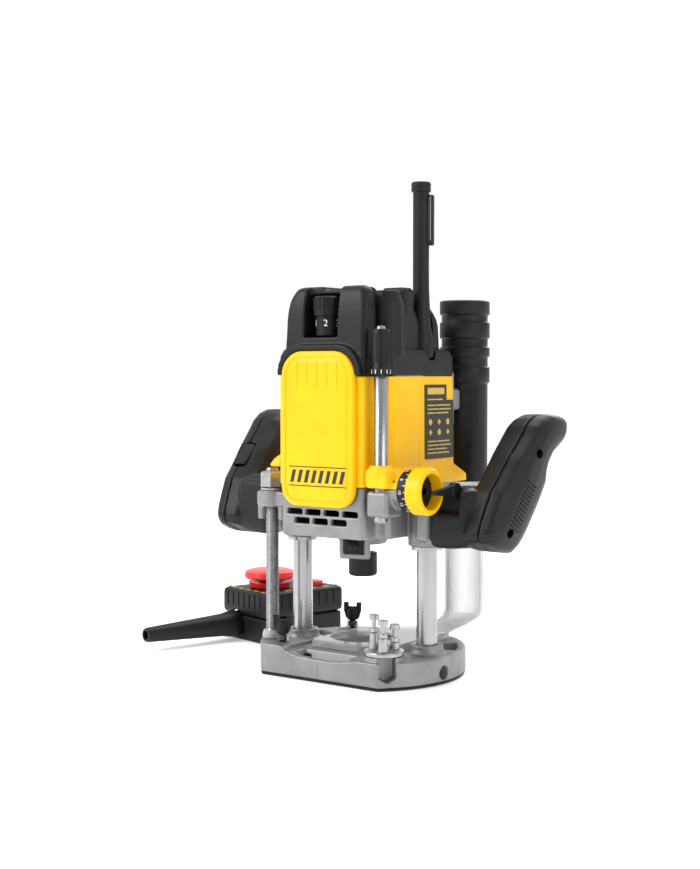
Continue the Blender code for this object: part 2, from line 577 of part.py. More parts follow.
# ---------------------------------------------------------------- depth stop
def make_depth_stop():
    bar = node("depth_rod", turned([(STOP_ROD_R - 0.8, 124), (STOP_ROD_R, 125), (STOP_ROD_R, 264),
                                    (3.4, 264.2),
                                    (3.4, 268), (2.6, 269)], 24), "steel", (STOP_ROD_X, STOP_ROD_Y, 0))
    cut(bar, block(-6, 6, STOP_ROD_R - 0.4, 10, 126, 230), (STOP_ROD_X, STOP_ROD_Y, 0))
    grip = turned_ring([(STOP_ROD_R + 0.15, 233.5), (7.2, 233.5), (7.2, 237.5), (6.3, 239), (6.6, 265.5),
                        (6.0, 266.8), (STOP_ROD_R + 0.15, 266.8)], 24)
    node("depth_grip", grip, "black_plastic", (STOP_ROD_X, STOP_ROD_Y, 0))

    place = (DIAL_X, DIAL_Y, DIAL_Z)
    rim = [(13.6, -5.5), (DIAL_R - 1, -5.5), (DIAL_R, -4.5), (DIAL_R, 6), (DIAL_R - 1.5, 7.5), (13.6, 7.5)]
    dial = node("depth_dial", along(turned_ring(rim, 28), "X"), "yellow_plastic", place)
    fuse(dial, along(rod(14.7, -5.1, -2.5, 28), "X"), place)
    fuse(dial, along(rod(2.6, -32.6, 1.0, 12), "X"), place)
    fuse(dial, along(prism(gear_outline(3.2, 4.3, 10), -33.0, -26.0), "X"), place)
    node("scale_ring", along(tube(15.4, 3.3, -13.5, -5.9, 28), "X"), "black_plastic", place)
    lever = node("plunge_lock_lever", along(rod(6.0, -3.2, 2.4, 24), "X"), "black_plastic", (97.2, -20, 148))
    stalk = skin([[(-1.8, y, -w), (1.8, y, -w), (1.8, y, w), (-1.8, y, w)]
                  for y, w in ((-29.5, 1.7), (-12.0, 3.2), (-2.0, 5.0))])
    fuse(lever, stalk, (97.2, -20, 148))


# ---------------------------------------------------------------- handles
def leaned(side, x, n, t):
    """Point of a handle from its distance out, across and along the leaning grip."""
    y = n * cos(HANDLE_LEAN) + t * sin(HANDLE_LEAN)
    z = t * cos(HANDLE_LEAN) - n * sin(HANDLE_LEAN)
    rise = z - HANDLE_MID_Z
    return Vector((side * (x + HANDLE_SPLAY * rise), y - HANDLE_UPRIGHT * rise, z))


def handle_ring(slice_, side, half, inset, join_x):
    """One D-shaped slice of a handle half: a curved outer side and a flat joint side."""
    t, front, back, share = slice_
    middle, half_w = (front + back) / 2, (back - front) / 2 - inset
    half_t = HANDLE_HALF_T * share * (1.0 if half > 0 else HANDLE_INNER) - inset
    ring = []
    for i in range(9):
        a = -pi / 2 + pi * i / 8
        n = middle + half_w * (1 if sin(a) >= 0 else -1) * abs(sin(a)) ** 0.8
        ring.append(leaned(side, join_x + half * half_t * max(cos(a), 0.0) ** 0.7, n, t))
    return ring


def tilted_block(side, half_x, levels):
    """Block inside a grip through (front, back, along) levels."""
    return skin([[leaned(side, HANDLE_X + dx, n, t) for dx, n in
                  ((-half_x, front), (half_x, front), (half_x, back), (-half_x, back))] for front,
                          back, t in levels])


def make_handle(side, word):
    for half, which in ((1, "outer"), (-1, "inner")):
        joint = HANDLE_X + half * GAP / 2
        shell = node("handle_%s_%s" % (word, which),
                     skin([handle_ring(s, side, half, 0.0, joint) for s in HANDLE_SLICES]), "black_plastic")
        if which == "inner":
            arm = tapered([(104, 149, -25, 22, 76.0), (104, 149, -24, 23, 90.0), (106, 150, -22, 30, 112.0)])
            bevel_edges(arm, 6.0, 2)
            for v in arm.verts:
                v.co = Vector((side * v.co.z, v.co.y, v.co.x))
            fuse(shell, arm)
        hollow = [handle_ring(s, side, half, 3.2, joint - half * 2.0) for s in HANDLE_SLICES[2:13:2]]
        cut(shell, skin(hollow))
        if which == "inner" and side > 0:
            cut(shell, block(78, 101.5, -50, -13.4, 130, 166))
    if side < 0:
        low, high = 139.5, 165.0
        for which in ("outer", "inner"):
            cut(bpy.data.objects["handle_left_" + which],
                tilted_block(side, 6.6, [(-90, -51.5, low), (-90, -51.5, high)]))
        trigger = tilted_block(side, 6.0, [(-71.8, -55, low + 2.5), (-63.6, -55, high - 0.8)])
        bevel_edges(trigger, 1.2, 1)
        pivot = leaned(side, HANDLE_X, -58, 163)
        bmesh.ops.translate(trigger, vec=-pivot, verts=trigger.verts)
        node("trigger", trigger, "black_plastic", pivot)


# ---------------------------------------------------------------- tower and mast
def make_tower():
    profile = [(TOWER_BORE_R, 147), (TOWER_R, 147)]
    for low, high in ((226, 240), (247, 256), (262, 276), (281, 293)):
        profile += [(TOWER_R, low), (20.4, low + 1), (20.4, high - 1), (TOWER_R, high)]
    profile += [(TOWER_BORE_R, 293)]
    node("dust_tower", turned_ring(profile, 28), "black_plastic", (TOWER_X, TOWER_Y, 0))
    bracket = node("tower_bracket", block(20, 49, 53.4, 57.5, 192, 236, 2, 2), "cast_alloy")
    fuse(bracket, block(30, 49, 55, 72, 205, 222, 1.5, 1))
    cut(bracket, rod(TOWER_R + 2.8, 180, 250, 28), (TOWER_X, TOWER_Y, 0))


def make_mast():
    mast = node("mast", turned(
        [(9.6, 246.4), (10.2, 252), (10.2, 262), (8.6, 266), (7.6, 272), (MAST_R, 300), (MAST_R, 374),
         (7.7, 374.6),
         (7.7, 381), (7.0, 382)], 24), "black_plastic", (MAST_X, MAST_Y, 0))
    fuse(mast, block(5.0, 10.5, -2.2, 2.2, 333, 372, 0.8, 1), (MAST_X, MAST_Y, 0), radians(10))
    cut(mast, block(6.9, 8.9, -3, 3, 337, 371), (MAST_X, MAST_Y, 0), radians(10))
    cut(mast, rod(3.6, 258, 400, 16), (MAST_X, MAST_Y, 0))


# ---------------------------------------------------------------- switch box
def make_switch_box():
    """Box drawn with its near corner at the local origin, width to -X and length to +Y."""
    base = node("box_base", block(-BOX_W, 0, 0, BOX_L, 0, 21, 4, 2, upright), "black_plastic",
                (*BOX_CORNER, 0), BOX_TURN)
    cut(base, block(-BOX_W + 3, -3, 3, BOX_L - 3, 3, 40), (*BOX_CORNER, 0), BOX_TURN)
    cover = node("box_cover", block(-BOX_W - 0.8, 0.8, -0.8, BOX_L + 0.8, 21.4, BOX_H, 4, 2), "black_plastic",
                 (*BOX_CORNER, 0), BOX_TURN)
    cut(cover, block(-BOX_W + 3, -3, 3, BOX_L - 3, 10, BOX_H - 3), (*BOX_CORNER, 0), BOX_TURN)
    stop_at, start_at = box_point(-34, 30, 0), box_point(-20, 68, 0)
    cut(cover, rod(13.2, 30, 60, 24), stop_at)
    cut(cover, along(rod(12.1, -5, 10, 20), "Y"), box_point(-44, 0, 13.5), BOX_TURN)
    cut(cover, block(-8.3, 8.3, -6.3, 6.3, 30, 60), start_at, BOX_TURN)
    collar = [(12.8, 42), (12.8, BOX_H + GAP), (17.5, BOX_H + GAP), (19.5, 49.4), (14.4, 49.0),
              (9.4, 46.4), (9.4, 42)]
    node("stop_collar", turned_ring(collar, 28), "red_plastic", stop_at)
    mushroom = [(8.8, 36), (8.8, 48.4), (12, 51.2), (22.4, 52.6), (23, 54.4), (22, 58.4), (17, 60.0)]
    node("stop_button", turned(mushroom, 28), "red_plastic", stop_at)
    node("start_button", block(-7.8, 7.8, -5.8, 5.8, 36, 48.6, 1, 1), "red_plastic", start_at, BOX_TURN)
    node("switch_module", block(-54, -8, 12, 78, 4, 33.0, 2, 1), "black_plastic", (*BOX_CORNER, 0), BOX_TURN)
    relief = [(9.5, 3.4), (9.5, -0.6), (11.6, -1.2), (11.4, -8), (10.0, -16), (8.6, -40), (6.3, -92),
              (5.6, -93.4)]
    made = node("strain_relief", along(turned([(r, -y) for r, y in relief], 20), "Y"), "black_plastic",
                box_point(-44, 0, 13.5), BOX_TURN + pi)
    cut(made, along(rod(4.0, -20, 120, 20), "Y"), box_point(-44, 0, 13.5), BOX_TURN + pi)
    cut(base, along(rod(9.9, -10, 5, 20), "Y"), box_point(-44, 0, 13.5), BOX_TURN)


def box_point(x, y, z):
    return (BOX_CORNER[0] + x * cos(BOX_TURN) - y * sin(BOX_TURN),
            BOX_CORNER[1] + x * sin(BOX_TURN) + y * cos(BOX_TURN), z)


clear_scene()
FRAME = bpy.data.objects.new("router_frame", None)
FRAME.location = Vector((SHIFT_X, SHIFT_Y, 0)) * MM
bpy.context.scene.collection.objects.link(FRAME)
make_base()
make_columns()
make_clamp_knobs()
make_turret()
make_dust_chute()
make_carriage()
make_lock()
make_motor_shell()
make_motor_cap()
make_motor()
make_depth_stop()
make_handle(-1, "left")
make_handle(1, "right")
make_tower()
make_mast()
make_switch_box()
weld_seams()
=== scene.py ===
"""Looks of a plunge router: materials, moulded detail, markings, studio and camera.

Lengths are millimetres in the machine's own frame: X to the right handle, Y to the back, Z up,
with the origin on the floor under the collet.  place() turns them into the row frame's metres.
"""

import json
from itertools import product
from math import atan2, cos, pi, radians, sin

import bmesh
import bpy
from mathutils import Matrix, Vector
from mathutils.bvhtree import BVHTree

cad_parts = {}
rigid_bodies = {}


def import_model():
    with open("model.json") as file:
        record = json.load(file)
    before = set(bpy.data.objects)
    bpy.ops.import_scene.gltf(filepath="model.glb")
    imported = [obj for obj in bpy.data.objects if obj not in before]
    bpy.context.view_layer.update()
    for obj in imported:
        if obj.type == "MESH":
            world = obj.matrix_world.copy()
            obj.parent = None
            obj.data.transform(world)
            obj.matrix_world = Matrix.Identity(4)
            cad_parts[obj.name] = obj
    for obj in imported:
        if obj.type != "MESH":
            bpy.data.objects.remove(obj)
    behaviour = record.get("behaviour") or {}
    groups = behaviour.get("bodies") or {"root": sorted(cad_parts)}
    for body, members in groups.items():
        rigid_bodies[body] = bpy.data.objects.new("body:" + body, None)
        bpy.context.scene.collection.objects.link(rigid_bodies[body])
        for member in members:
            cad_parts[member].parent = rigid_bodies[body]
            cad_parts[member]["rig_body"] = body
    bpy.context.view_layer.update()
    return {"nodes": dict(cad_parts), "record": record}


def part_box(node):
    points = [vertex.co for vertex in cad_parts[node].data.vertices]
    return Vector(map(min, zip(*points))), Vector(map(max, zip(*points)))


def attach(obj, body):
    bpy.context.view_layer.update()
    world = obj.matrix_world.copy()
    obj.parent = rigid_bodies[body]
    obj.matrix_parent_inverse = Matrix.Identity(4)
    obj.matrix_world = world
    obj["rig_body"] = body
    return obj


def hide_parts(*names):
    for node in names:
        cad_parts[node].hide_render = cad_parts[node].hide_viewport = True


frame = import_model()
SCENE = bpy.context.scene

MM = 0.001
BASE_R = 81.0                                   # round back of the base casting
BASE_LOW, BASE_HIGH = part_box("base_casting")
COLLET = Vector(((BASE_LOW.x + BASE_HIGH.x) / 2, BASE_HIGH.y - BASE_R * MM, 0))
SLOTS = {part["node"]: part["material_slot"] for part in frame["record"]["subparts"]}

# camera
CAMERA_AZIMUTH = radians(35.48)                 # from straight ahead towards the right handle
CAMERA_DISTANCE, CAMERA_HEIGHT = 1130.5, 234.6
CAMERA_TILT, CAMERA_PAN = radians(87.55), radians(36.0)
SENSOR_MM, LENS_MM = 36.0, 59.655

# surroundings and lights
SKY_NEAR, SKY_FAR = 0.42, 1.05                  # brightness on the camera's side and beyond the machine
LIT_POINT = (0, 0, 150)
LIGHTS = [                                      # name, place, size in metres, watts
    ("key", (-900, -1300, 1100), (0.9, 0.9), 22.0), ("fill", (1500, -300, 700), (1.2, 0.8), 7.0),
    ("top", (0, 300, 1400), (0.8, 0.8), 9.0), ("rim", (-300, 1300, 900), (0.5, 1.2), 8.0)]
FLOOR_REACH, FLOOR_DROP = 6.0, 0.0004           # metres

# materials and meshes
NOISE_LOW, NOISE_HIGH = 0.3, 0.7                # the span that most noise values fall in
MERGE_MM, FLAT_ANGLE = 0.002, radians(0.8)      # nearer points merge, flatter facets join
SMOOTH_DEG = 35.0
EDGE_ANGLE = radians(38)                        # sharper corners than this are broken
LETTER_THICK, PRINT_HALF_THICK = 0.12, 0.12
SIZE_PER_HEIGHT = 1.4                           # font size for digits of about unit height

# height rod
THREAD_PITCH, THREAD_DEPTH = 1.5, 0.62
THREAD_LOW_Z, THREAD_TOP_MARGIN = 31.0, 3.0
ROD_SIDES = 28

# front cover
COVER_LOW_CORNER_R, COVER_HIGH_CORNER_R, COVER_LEAST_R = 15, 19, 3
COVER_STEPS = [                                 # inset of the outline, distance behind the cover's face
    (0, 1.6), (0.5, 0.5), (1.7, 0), (4.0, 0), (4.5, 0.6), (5.3, 0.6), (5.9, 0), (9.0, -0.05)]
FLUTES, FLUTE_PITCH = 5, 9.2
FLUTE_DROP, FLUTE_RUN = 27, 19                  # low end under the cover's top, and length
FLUTE_W, FLUTE_H = 1.8, 0.45
BADGE_Z, BADGE_HALF_W = 156.5, 27
BADGE_LINES, BADGE_LINE_H = (-7.6, 6.8), 0.8
BADGE_BARS, BADGE_PITCH, BADGE_SLANT = 8, 6.6, 2.6
BADGE_BAR_W, BADGE_BAR_HALF_H = 3.4, 4.8

# rating plate on the right side, drawn about PLATE_Y, PLATE_Z
PLATE_Y, PLATE_Z, PLATE_LANDING_Z = 30, 198, 190
PLATE_OUTLINE = [(-21, -30), (20, -30), (20, 15.5), (10, 15.5), (10, 27.5), (-21, 27.5)]
PLATE_THICK = 0.25                              # ink depth on each side of the plate's plane
PLATE_LEFT, PLATE_ROW_H = -17.5, 1.0
PLATE_TITLE = (PLATE_LEFT, 20, 6.5, 25)
PLATE_ROWS = [                                  # height and right end of each broken line
    (15.5, 4), (11.0, 15), (8.0, 16), (5.0, 12), (-17.0, 14), (-20.0, 16), (-23.0, 10), (-26.0, 13)]
SIGN_R, SIGN_LEFT, SIGN_PITCH = 2.4, -13.5, 12.5
SIGN_ROWS = (-9.5, -1.5)

# handles
HANDLE_SCREWS = ((27.0, 174.4), (-6.8, 117.6))  # y, z on the outer half
# radius and height of the near-black disc, standing just proud of each handle, that paints the shade of a
# screw hole
HANDLE_HOLE_SHADE_DISC = [(3.4, -0.6), (3.4, 0.22), (3.1, 0.3)]
HANDLE_CLEAR_X = 200                            # clear outside either handle
RIB_NUMBERS, RIB_STEPS = range(2, 15), 5
RIB_START_Y, RIB_START_Z = 1.0, 112.5
RIB_PITCH_Y, RIB_PITCH_Z = 1.75, 2.6            # from one rib to the next
RIB_STEP_Y, RIB_STEP_Z = 2.3, 1.3               # along a rib
RIB_W, RIB_H = 1.2, 0.9

# dust tower
RUNGS, RUNG_LOW_Z, RUNG_PITCH = 8, 164.3, 10.9
RUNG_W, RUNG_H = 2.4, 1.3
RUNG_TURNS = [radians(-60 + 5 * k) for k in range(5)]
TOWER_CLEAR_R = 80                              # clear outside the tower

# depth scale, dial and grip
SCALE_TICKS, SCALE_DIGIT_H = 20, 2.6
TICK_END, TICK_LONG, TICK_SHORT = 3.5, 2.4, 1.4
INDEX_X, INDEX_R, INDEX_TURN = 63.5, 13.6, radians(148)
DIAL_HUB_BACK = 9.9                             # from the dial's outer rim to the back of its dark hub
DIAL_HUB = [(13.5, 0), (13.5, 0.8), (12.6, 1.6), (5.5, 1.6), (5.0, 3.2), (3.6, 3.4)]
GRIP_MARKS, GRIP_FIRST_TURN = 10, radians(-90)
GRIP_TICK_Z, GRIP_FLARE_R = 235.5, 7.2
GRIP_LUG_Z, GRIP_LUG_R, GRIP_LUG_STEP = 242, 6.35, 5.5

# speed wheel
WHEEL_NUMBERS, WHEEL_FIRST_TURN = 6, radians(-125)
WHEEL_DIGIT_Z, WHEEL_DIGIT_H = 272, 5.0
WHEEL_KNURLS, WHEEL_KNURL_DROPS = 20, (10.0, 7.0, 4.0, 1.5)
WHEEL_CLEAR_R = 40                              # clear outside the wheel

# base casting
PARTING_Z = (2.6, 6.5, 10.5, 15.0)
SIDE_HOLE_Y, SIDE_HOLE_Z = -7, 8.6
SIDE_SCREW_R, SIDE_SCREW_H, SIDE_SCREW_SUNK = 4.6, 2.0, 3.0

# stop-switch box, which stands turned on the floor; its own x runs from -BOX_W to 0
BOX_CORNER, BOX_TURN = Vector((-127.0, 34.0, 0)), radians(-14.2)
BOX_W, BOX_L, BOX_TOP = 64.0, 86.0, 44.0
BOX_RIB_OUT = 0.8                               # ribs start this far outside the box's corner lines
BOX_RIB_Z, BOX_RIB_RUN = 29.0, 12
BOX_RIB_W, BOX_RIB_H = 2.2, 0.7
BOX_SIDE_RIBS, BOX_SIDE_START, BOX_SIDE_PITCH = 9, 10, 8.2
BOX_END_RIBS, BOX_END_START, BOX_END_PITCH = 7, -8, 8.0
BOX_PRINTS, BOX_PRINT_IN, BOX_PRINT_THICK = 5, 5, 0.1
BOX_PRINT_LONG, BOX_PRINT_SHORT = 3.2, 1.2      # half sizes
BOX_SCREW_IN, BOX_SCREW_R, BOX_SCREW_H = 5, 2.3, 0.7


def place(x, y, z):
    """Row-frame metres of a point in the machine's millimetres."""
    return COLLET + Vector((x, y, z)) * MM


def node_box(name):
    """Lowest and highest corner of a node in the machine's millimetres."""
    return [(corner - COLLET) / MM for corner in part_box(name)]


# ---------------------------------------------------------------- materials
def new_material(name):
    made = bpy.data.materials.new(name)
    made.use_nodes = True
    return made, made.node_tree.nodes, made.node_tree.links, made.node_tree.nodes["Principled BSDF"]


def noise(nodes, links, coords, size_mm, detail=3.0, stretch=(1, 1, 1)):
    """Noise whose features are about size_mm across."""
    mapping = nodes.new("ShaderNodeMapping")
    mapping.inputs["Scale"].default_value = stretch
    links.new(coords.outputs["Object"], mapping.inputs["Vector"])
    texture = nodes.new("ShaderNodeTexNoise")
    texture.inputs["Scale"].default_value = 1 / (size_mm * MM)
    texture.inputs["Detail"].default_value = detail
    links.new(mapping.outputs["Vector"], texture.inputs["Vector"])
    return texture


def spread(nodes, links, source, low, high):
    """Map a noise value onto low..high."""
    step = nodes.new("ShaderNodeMapRange")
    step.inputs["From Min"].default_value = NOISE_LOW
    step.inputs["From Max"].default_value = NOISE_HIGH
    step.inputs["To Min"].default_value = low
    step.inputs["To Max"].default_value = high
    links.new(source, step.inputs["Value"])
    return step.outputs["Result"]


def tint(nodes, links, source, dark, light):
    """Map a noise value onto a colour between dark and light."""
    ramp = nodes.new("ShaderNodeValToRGB")
    ramp.color_ramp.elements[0].position = NOISE_LOW
    ramp.color_ramp.elements[0].color = (*dark, 1)
    ramp.color_ramp.elements[1].position = NOISE_HIGH
    ramp.color_ramp.elements[1].color = (*light, 1)
    links.new(source, ramp.inputs["Fac"])
    return ramp.outputs["Color"]


def surface(name, dark, light, rough, metallic=0.0, patch_mm=18.0, grain_mm=0.5, grain_depth_mm=0.02,
            stretch=(1, 1, 1), **sockets):
    """Material with soft colour patches, uneven gloss and a fine grain in relief."""
    made, nodes, links, shader = new_material(name)
    coords = nodes.new("ShaderNodeTexCoord")
    patches = noise(nodes, links, coords, patch_mm, 4.0, stretch)
    grain = noise(nodes, links, coords, grain_mm, 2.0, stretch)
    links.new(tint(nodes, links, patches.outputs["Fac"], dark, light), shader.inputs["Base Color"])
    links.new(spread(nodes, links, grain.outputs["Fac"], *rough), shader.inputs["Roughness"])
    relief = nodes.new("ShaderNodeBump")
    relief.inputs["Strength"].default_value = 0.6
    relief.inputs["Distance"].default_value = grain_depth_mm * MM
    links.new(grain.outputs["Fac"], relief.inputs["Height"])
    links.new(relief.outputs["Normal"], shader.inputs["Normal"])
    shader.inputs["Metallic"].default_value = metallic
    for socket, value in sockets.items():
        shader.inputs[socket.replace("_", " ")].default_value = value
    return made


def clear_plastic():
    """Clear moulding: nearly see-through when met square on, milky along its edges."""
    made = surface("clear_polycarbonate", (0.42, 0.43, 0.44), (0.52, 0.53, 0.54), (0.06, 0.14), patch_mm=40.0,
                   grain_mm=9.0, grain_depth_mm=0.03)
    nodes, links = made.node_tree.nodes, made.node_tree.links
    edge = nodes.new("ShaderNodeLayerWeight")
    edge.inputs["Blend"].default_value = 0.35
    body = nodes.new("ShaderNodeMapRange")
    body.inputs["To Min"].default_value = 0.20
    body.inputs["To Max"].default_value = 0.95
    links.new(edge.outputs["Facing"], body.inputs["Value"])
    links.new(body.outputs["Result"], nodes["Principled BSDF"].inputs["Alpha"])
    return made


FINISH = {
    "yellow_plastic": surface("yellow_plastic_moulded", (0.90, 0.47, 0.0), (0.95, 0.53, 0.0), (0.34, 0.46),
                              grain_mm=0.6, grain_depth_mm=0.012, Specular_IOR_Level=0.28),
    "black_plastic": surface("black_plastic_textured", (0.0045, 0.0045, 0.005), (0.0085, 0.0085, 0.009),
                             (0.38, 0.54), grain_mm=0.45, grain_depth_mm=0.03, Specular_IOR_Level=0.27),
    "cast_alloy": surface("silver_painted_casting", (0.22, 0.22, 0.225), (0.29, 0.29, 0.295), (0.36, 0.56),
                          0.55, grain_mm=0.7, grain_depth_mm=0.03),
    "steel": surface("ground_steel", (0.35, 0.35, 0.36), (0.41, 0.41, 0.42), (0.24, 0.32), 1.0,
                     patch_mm=30.0, grain_mm=0.6, grain_depth_mm=0.003),
    "zinc_steel": surface("zinc_plated_steel", (0.34, 0.34, 0.35), (0.45, 0.45, 0.46), (0.24, 0.40), 1.0,
                          patch_mm=5.0, grain_mm=0.4, grain_depth_mm=0.008),
    "spring_steel": surface("dark_spring_wire", (0.16, 0.16, 0.17), (0.24, 0.24, 0.25), (0.28, 0.40), 1.0,
                            patch_mm=3.0, grain_mm=0.4, grain_depth_mm=0.01),
    "red_plastic": surface("red_plastic_moulded", (0.62, 0.008, 0.008), (0.74, 0.014, 0.012), (0.28, 0.40),
                           grain_mm=0.5, grain_depth_mm=0.012, Coat_Weight=0.2, Coat_Roughness=0.2),
    "clear_plastic": clear_plastic(),
    "white_plastic": surface("white_plastic_moulded", (0.36, 0.36, 0.35), (0.44, 0.44, 0.43), (0.40, 0.55)),
    "copper_winding": surface("varnished_copper", (0.36, 0.12, 0.04), (0.55, 0.22, 0.08), (0.3, 0.5), 0.8,
                              patch_mm=2.0, stretch=(1, 1, 0.1)),
    "circuit_board": surface("potted_board", (0.01, 0.07, 0.02), (0.02, 0.12, 0.04), (0.3, 0.5),
                             patch_mm=4.0),
    "carbon": surface("pressed_carbon", (0.02, 0.02, 0.02), (0.04, 0.04, 0.04), (0.6, 0.8)),
}
DARK_INK = surface("black_print", (0.008, 0.008, 0.008), (0.013, 0.013, 0.013), (0.42, 0.55),
                   grain_depth_mm=0.006)
WHITE_INK = surface("white_print", (0.74, 0.74, 0.72), (0.82, 0.82, 0.80), (0.45, 0.6), grain_depth_mm=0.006)
OCHRE_INK = surface("ochre_print", (0.55, 0.38, 0.04), (0.66, 0.46, 0.06), (0.45, 0.6), grain_depth_mm=0.006)
# near-black with no gloss at all: painted shade for the screw holes in the handles
HOLE_SHADE = surface("hole_shade", (0.001, 0.001, 0.001), (0.002, 0.002, 0.002), (0.8, 0.9),
                     Specular_IOR_Level=0.0)
RUBBER = surface("soft_grip_rubber", (0.010, 0.010, 0.010), (0.016, 0.016, 0.016), (0.62, 0.78),
                 grain_mm=0.35, grain_depth_mm=0.05)


# ---------------------------------------------------------------- pieces
def link(name, mesh, finish, body):
    """Put a mesh in the scene, riding on a CAD body."""
    piece = bpy.data.objects.new(name, mesh)
    SCENE.collection.objects.link(piece)
    mesh.materials.clear()
    mesh.materials.append(finish)
    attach(piece, body)
    return piece


def smooth(mesh, angle_deg=SMOOTH_DEG):
    """Smooth shading that stays sharp over corners of more than angle_deg."""
    mesh.shade_smooth()
    mesh.set_sharp_from_angle(angle=radians(angle_deg))


def add_piece(name, bm, finish, body, angle_deg=SMOOTH_DEG):
    """Make a piece from a bmesh drawn in the machine's millimetres."""
    bmesh.ops.recalc_face_normals(bm, faces=bm.faces)
    bmesh.ops.transform(bm, matrix=Matrix.Translation(COLLET) @ Matrix.Scale(MM, 4), verts=bm.verts)
    mesh = bpy.data.meshes.new(name)
    bm.to_mesh(mesh)
    bm.free()
    smooth(mesh, angle_deg)
    return link(name, mesh, finish, body)


def body_of(node):
    """The moving body that a node belongs to."""
    return frame["nodes"][node]["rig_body"]


def skinned(node):
    """Copy of a CAD node with merged facets that stands for it."""
    source = frame["nodes"][node]
    mesh = source.data.copy()
    bm = bmesh.new()
    bm.from_mesh(mesh)
    bmesh.ops.remove_doubles(bm, verts=bm.verts, dist=MERGE_MM * MM)
    bmesh.ops.dissolve_limit(bm, angle_limit=FLAT_ANGLE, verts=bm.verts, edges=bm.edges)
    bm.to_mesh(mesh)
    bm.free()
    piece = link(node + "_finished", mesh, FINISH[SLOTS[node]], body_of(node))
    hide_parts(node)
    return piece


def crisp(node, edge_mm):
    """Turned or machined piece: smooth round faces and small broken edges."""
    piece = skinned(node)
    smooth(piece.data)
    if edge_mm:
        edge = piece.modifiers.new("broken edges", "BEVEL")
        edge.width = edge_mm * MM
        edge.segments = 2
        edge.limit_method = "ANGLE"
        edge.angle_limit = EDGE_ANGLE
        edge.harden_normals = True


def moulded(node, voxel_mm, passes):
    """Moulded or cast piece: every corner runs over in a small radius."""
    piece = skinned(node)
    cells = piece.modifiers.new("even cells", "REMESH")
    cells.mode = "VOXEL"
    cells.voxel_size = voxel_mm * MM
    cells.use_smooth_shade = True
    flow = piece.modifiers.new("soft corners", "SMOOTH")
    flow.factor = 0.5
    flow.iterations = passes


# ---------------------------------------------------------------- shapes
def skin(rings):
    """Surface through rings of equal length, with capped ends."""
    bm = bmesh.new()
    loops = [[bm.verts.new(point) for point in ring] for ring in rings]
    for low, high in zip(loops, loops[1:]):
        for i, corner in enumerate(low):
            j = (i + 1) % len(low)
            bm.faces.new((corner, low[j], high[j], high[i]))
    bm.faces.new(list(reversed(loops[0])))
    bm.faces.new(loops[-1])
    return bm


def angles(count, start=0.0):
    """Evenly spaced angles round a full turn."""
    return [start + 2 * pi * k / count for k in range(count)]


def turned(profile, sides, centre=(0, 0, 0)):
    """Solid turned about a vertical line from (radius, height) points."""
    x, y, z = centre
    return skin([[(x + r * cos(a), y + r * sin(a), z + h) for a in angles(sides)] for r, h in profile])


def join(bm, other, matrix=None):
    """Add another bmesh, moved by a matrix, to bm."""
    mesh = bpy.data.meshes.new("scratch")
    other.to_mesh(mesh)
    other.free()
    if matrix is not None:
        mesh.transform(matrix)
    bm.from_mesh(mesh)
    bpy.data.meshes.remove(mesh)
    return bm


def facing(origin, normal, up=(0, 0, 1)):
    """Matrix that takes local Z to the normal and local Y to the up direction, at origin."""
    z = Vector(normal).normalized()
    x = Vector(up).cross(z).normalized()
    y = z.cross(x)
    turn = Matrix((x, y, z)).transposed().to_4x4()
    return Matrix.Translation(origin) @ turn


def rounded_outline(half_w, low, high, low_r, high_r, steps=8):
    """(x, z) outline of an upright panel with its low and its high corners rounded."""
    corners = ((half_w - low_r, low + low_r, low_r, -90), (half_w - high_r, high - high_r, high_r, 0),
               (high_r - half_w, high - high_r, high_r, 90), (low_r - half_w, low + low_r, low_r, 180))
    points = []
    for cx, cz, r, start in corners:
        for k in range(steps + 1):
            a = radians(start + 90 * k / steps)
            points.append((cx + r * cos(a), cz + r * sin(a)))
    return points


def lettering(text, height_mm):
    """Bmesh of a short number, centred, reading along +X with its face toward +Z."""
    curve = bpy.data.curves.new("scratch_text", "FONT")
    curve.body = text
    curve.size = height_mm * SIZE_PER_HEIGHT
    curve.extrude = LETTER_THICK / 2
    curve.align_x = "CENTER"
    curve.align_y = "CENTER"
    thing = bpy.data.objects.new("scratch_text", curve)
    SCENE.collection.objects.link(thing)
    evaluated = thing.evaluated_get(bpy.context.evaluated_depsgraph_get())
    mesh = bpy.data.meshes.new_from_object(evaluated)
    bm = bmesh.new()
    bm.from_mesh(mesh)
    bpy.data.objects.remove(thing)
    bpy.data.curves.remove(curve)
    bpy.data.meshes.remove(mesh)
    return bm


def screw_head(radius, height):
    """Cap screw head drawn on Z = 0 with a hexagonal recess in its top."""
    profile = [(0.85 * radius, 0), (radius, 0.15 * height), (radius, 0.8 * height), (0.9 * radius, height)]
    socket_r, socket_depth = 0.5 * radius, 0.55 * height
    bm = turned(profile, 24)
    top = [f for f in bm.faces if all(abs(v.co.z - height) < 1e-6 for v in f.verts)]
    bmesh.ops.inset_region(bm, faces=top, thickness=0.35 * radius)
    for vertex in top[0].verts:
        a = atan2(vertex.co.y, vertex.co.x)
        edge = (a % (pi / 3)) - pi / 6
        reach = socket_r * cos(pi / 6) / cos(edge)
        vertex.co.x, vertex.co.y = reach * cos(a), reach * sin(a)
    pushed = bmesh.ops.extrude_face_region(bm, geom=top)
    sunk = [v for v in pushed["geom"] if isinstance(v, bmesh.types.BMVert)]
    bmesh.ops.translate(bm, vec=(0, 0, -socket_depth), verts=sunk)
    bmesh.ops.delete(bm, geom=top, context="FACES_ONLY")
    return bm


